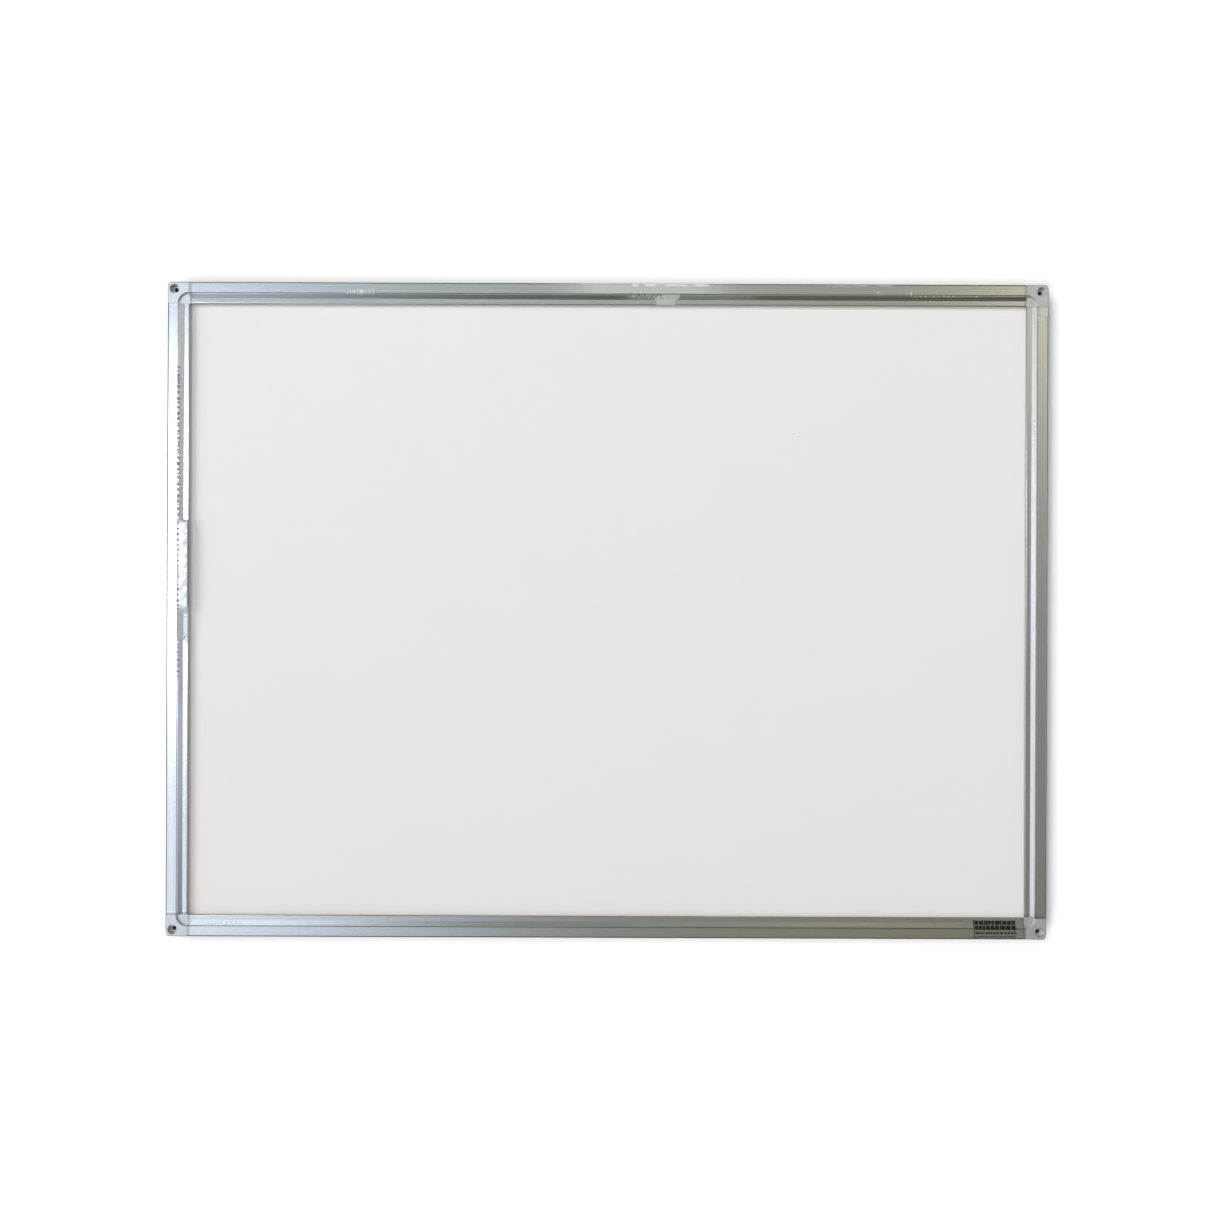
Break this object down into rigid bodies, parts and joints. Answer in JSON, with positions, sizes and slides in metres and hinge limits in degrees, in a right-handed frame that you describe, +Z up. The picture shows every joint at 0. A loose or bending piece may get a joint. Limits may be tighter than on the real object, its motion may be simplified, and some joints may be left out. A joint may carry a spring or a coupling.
{
  "type": "framed whiteboard",
  "caption": "Wall-mounted dry-wipe whiteboard in a stepped aluminium frame with moulded corner blocks, each counterbored for a wall screw.",
  "frame": {"origin": "centre of the four wall-screw holes, on the plane of the wall behind the frame", "axes": "+X to the right across the board, +Y into the wall, +Z up; the writing surface faces -Y"},
  "size_m": [1.2, 0.02, 0.892],
  "materials": {
    "writing_surface": "satin off-white lacquer",
    "core": "paper honeycomb",
    "backing": "galvanised sheet",
    "rail": "satin anodised extrusion",
    "corner_plastic": "moulded silver-grey",
    "packing_foam": "closed-cell foam",
    "screw_steel": "zinc plated",
    "protective_film": "clear peel-off film",
    "sticker": "printed film"
  },
  "bodies": {
    "root": {"writing_sheet": "writing_surface", "core_board": "core", "backing_sheet": "backing", "top_rail": "rail", "bottom_rail": "rail", "left_rail": "rail", "right_rail": "rail", "corner_top_left": "corner_plastic", "corner_top_right": "corner_plastic", "corner_bottom_left": "corner_plastic", "corner_bottom_right": "corner_plastic", "packing_strip_top": "packing_foam", "packing_strip_bottom": "packing_foam", "packing_strip_left": "packing_foam", "packing_strip_right": "packing_foam", "screw_top_rail_left": "screw_steel", "screw_top_rail_right": "screw_steel", "screw_bottom_rail_left": "screw_steel", "screw_bottom_rail_right": "screw_steel", "screw_left_rail_top": "screw_steel", "screw_left_rail_bottom": "screw_steel", "screw_right_rail_top": "screw_steel", "screw_right_rail_bottom": "screw_steel", "film_top_rail": "protective_film", "film_bottom_rail": "protective_film", "film_left_rail": "protective_film", "film_right_rail": "protective_film", "label": "sticker"}
  },
  "joints": []
}
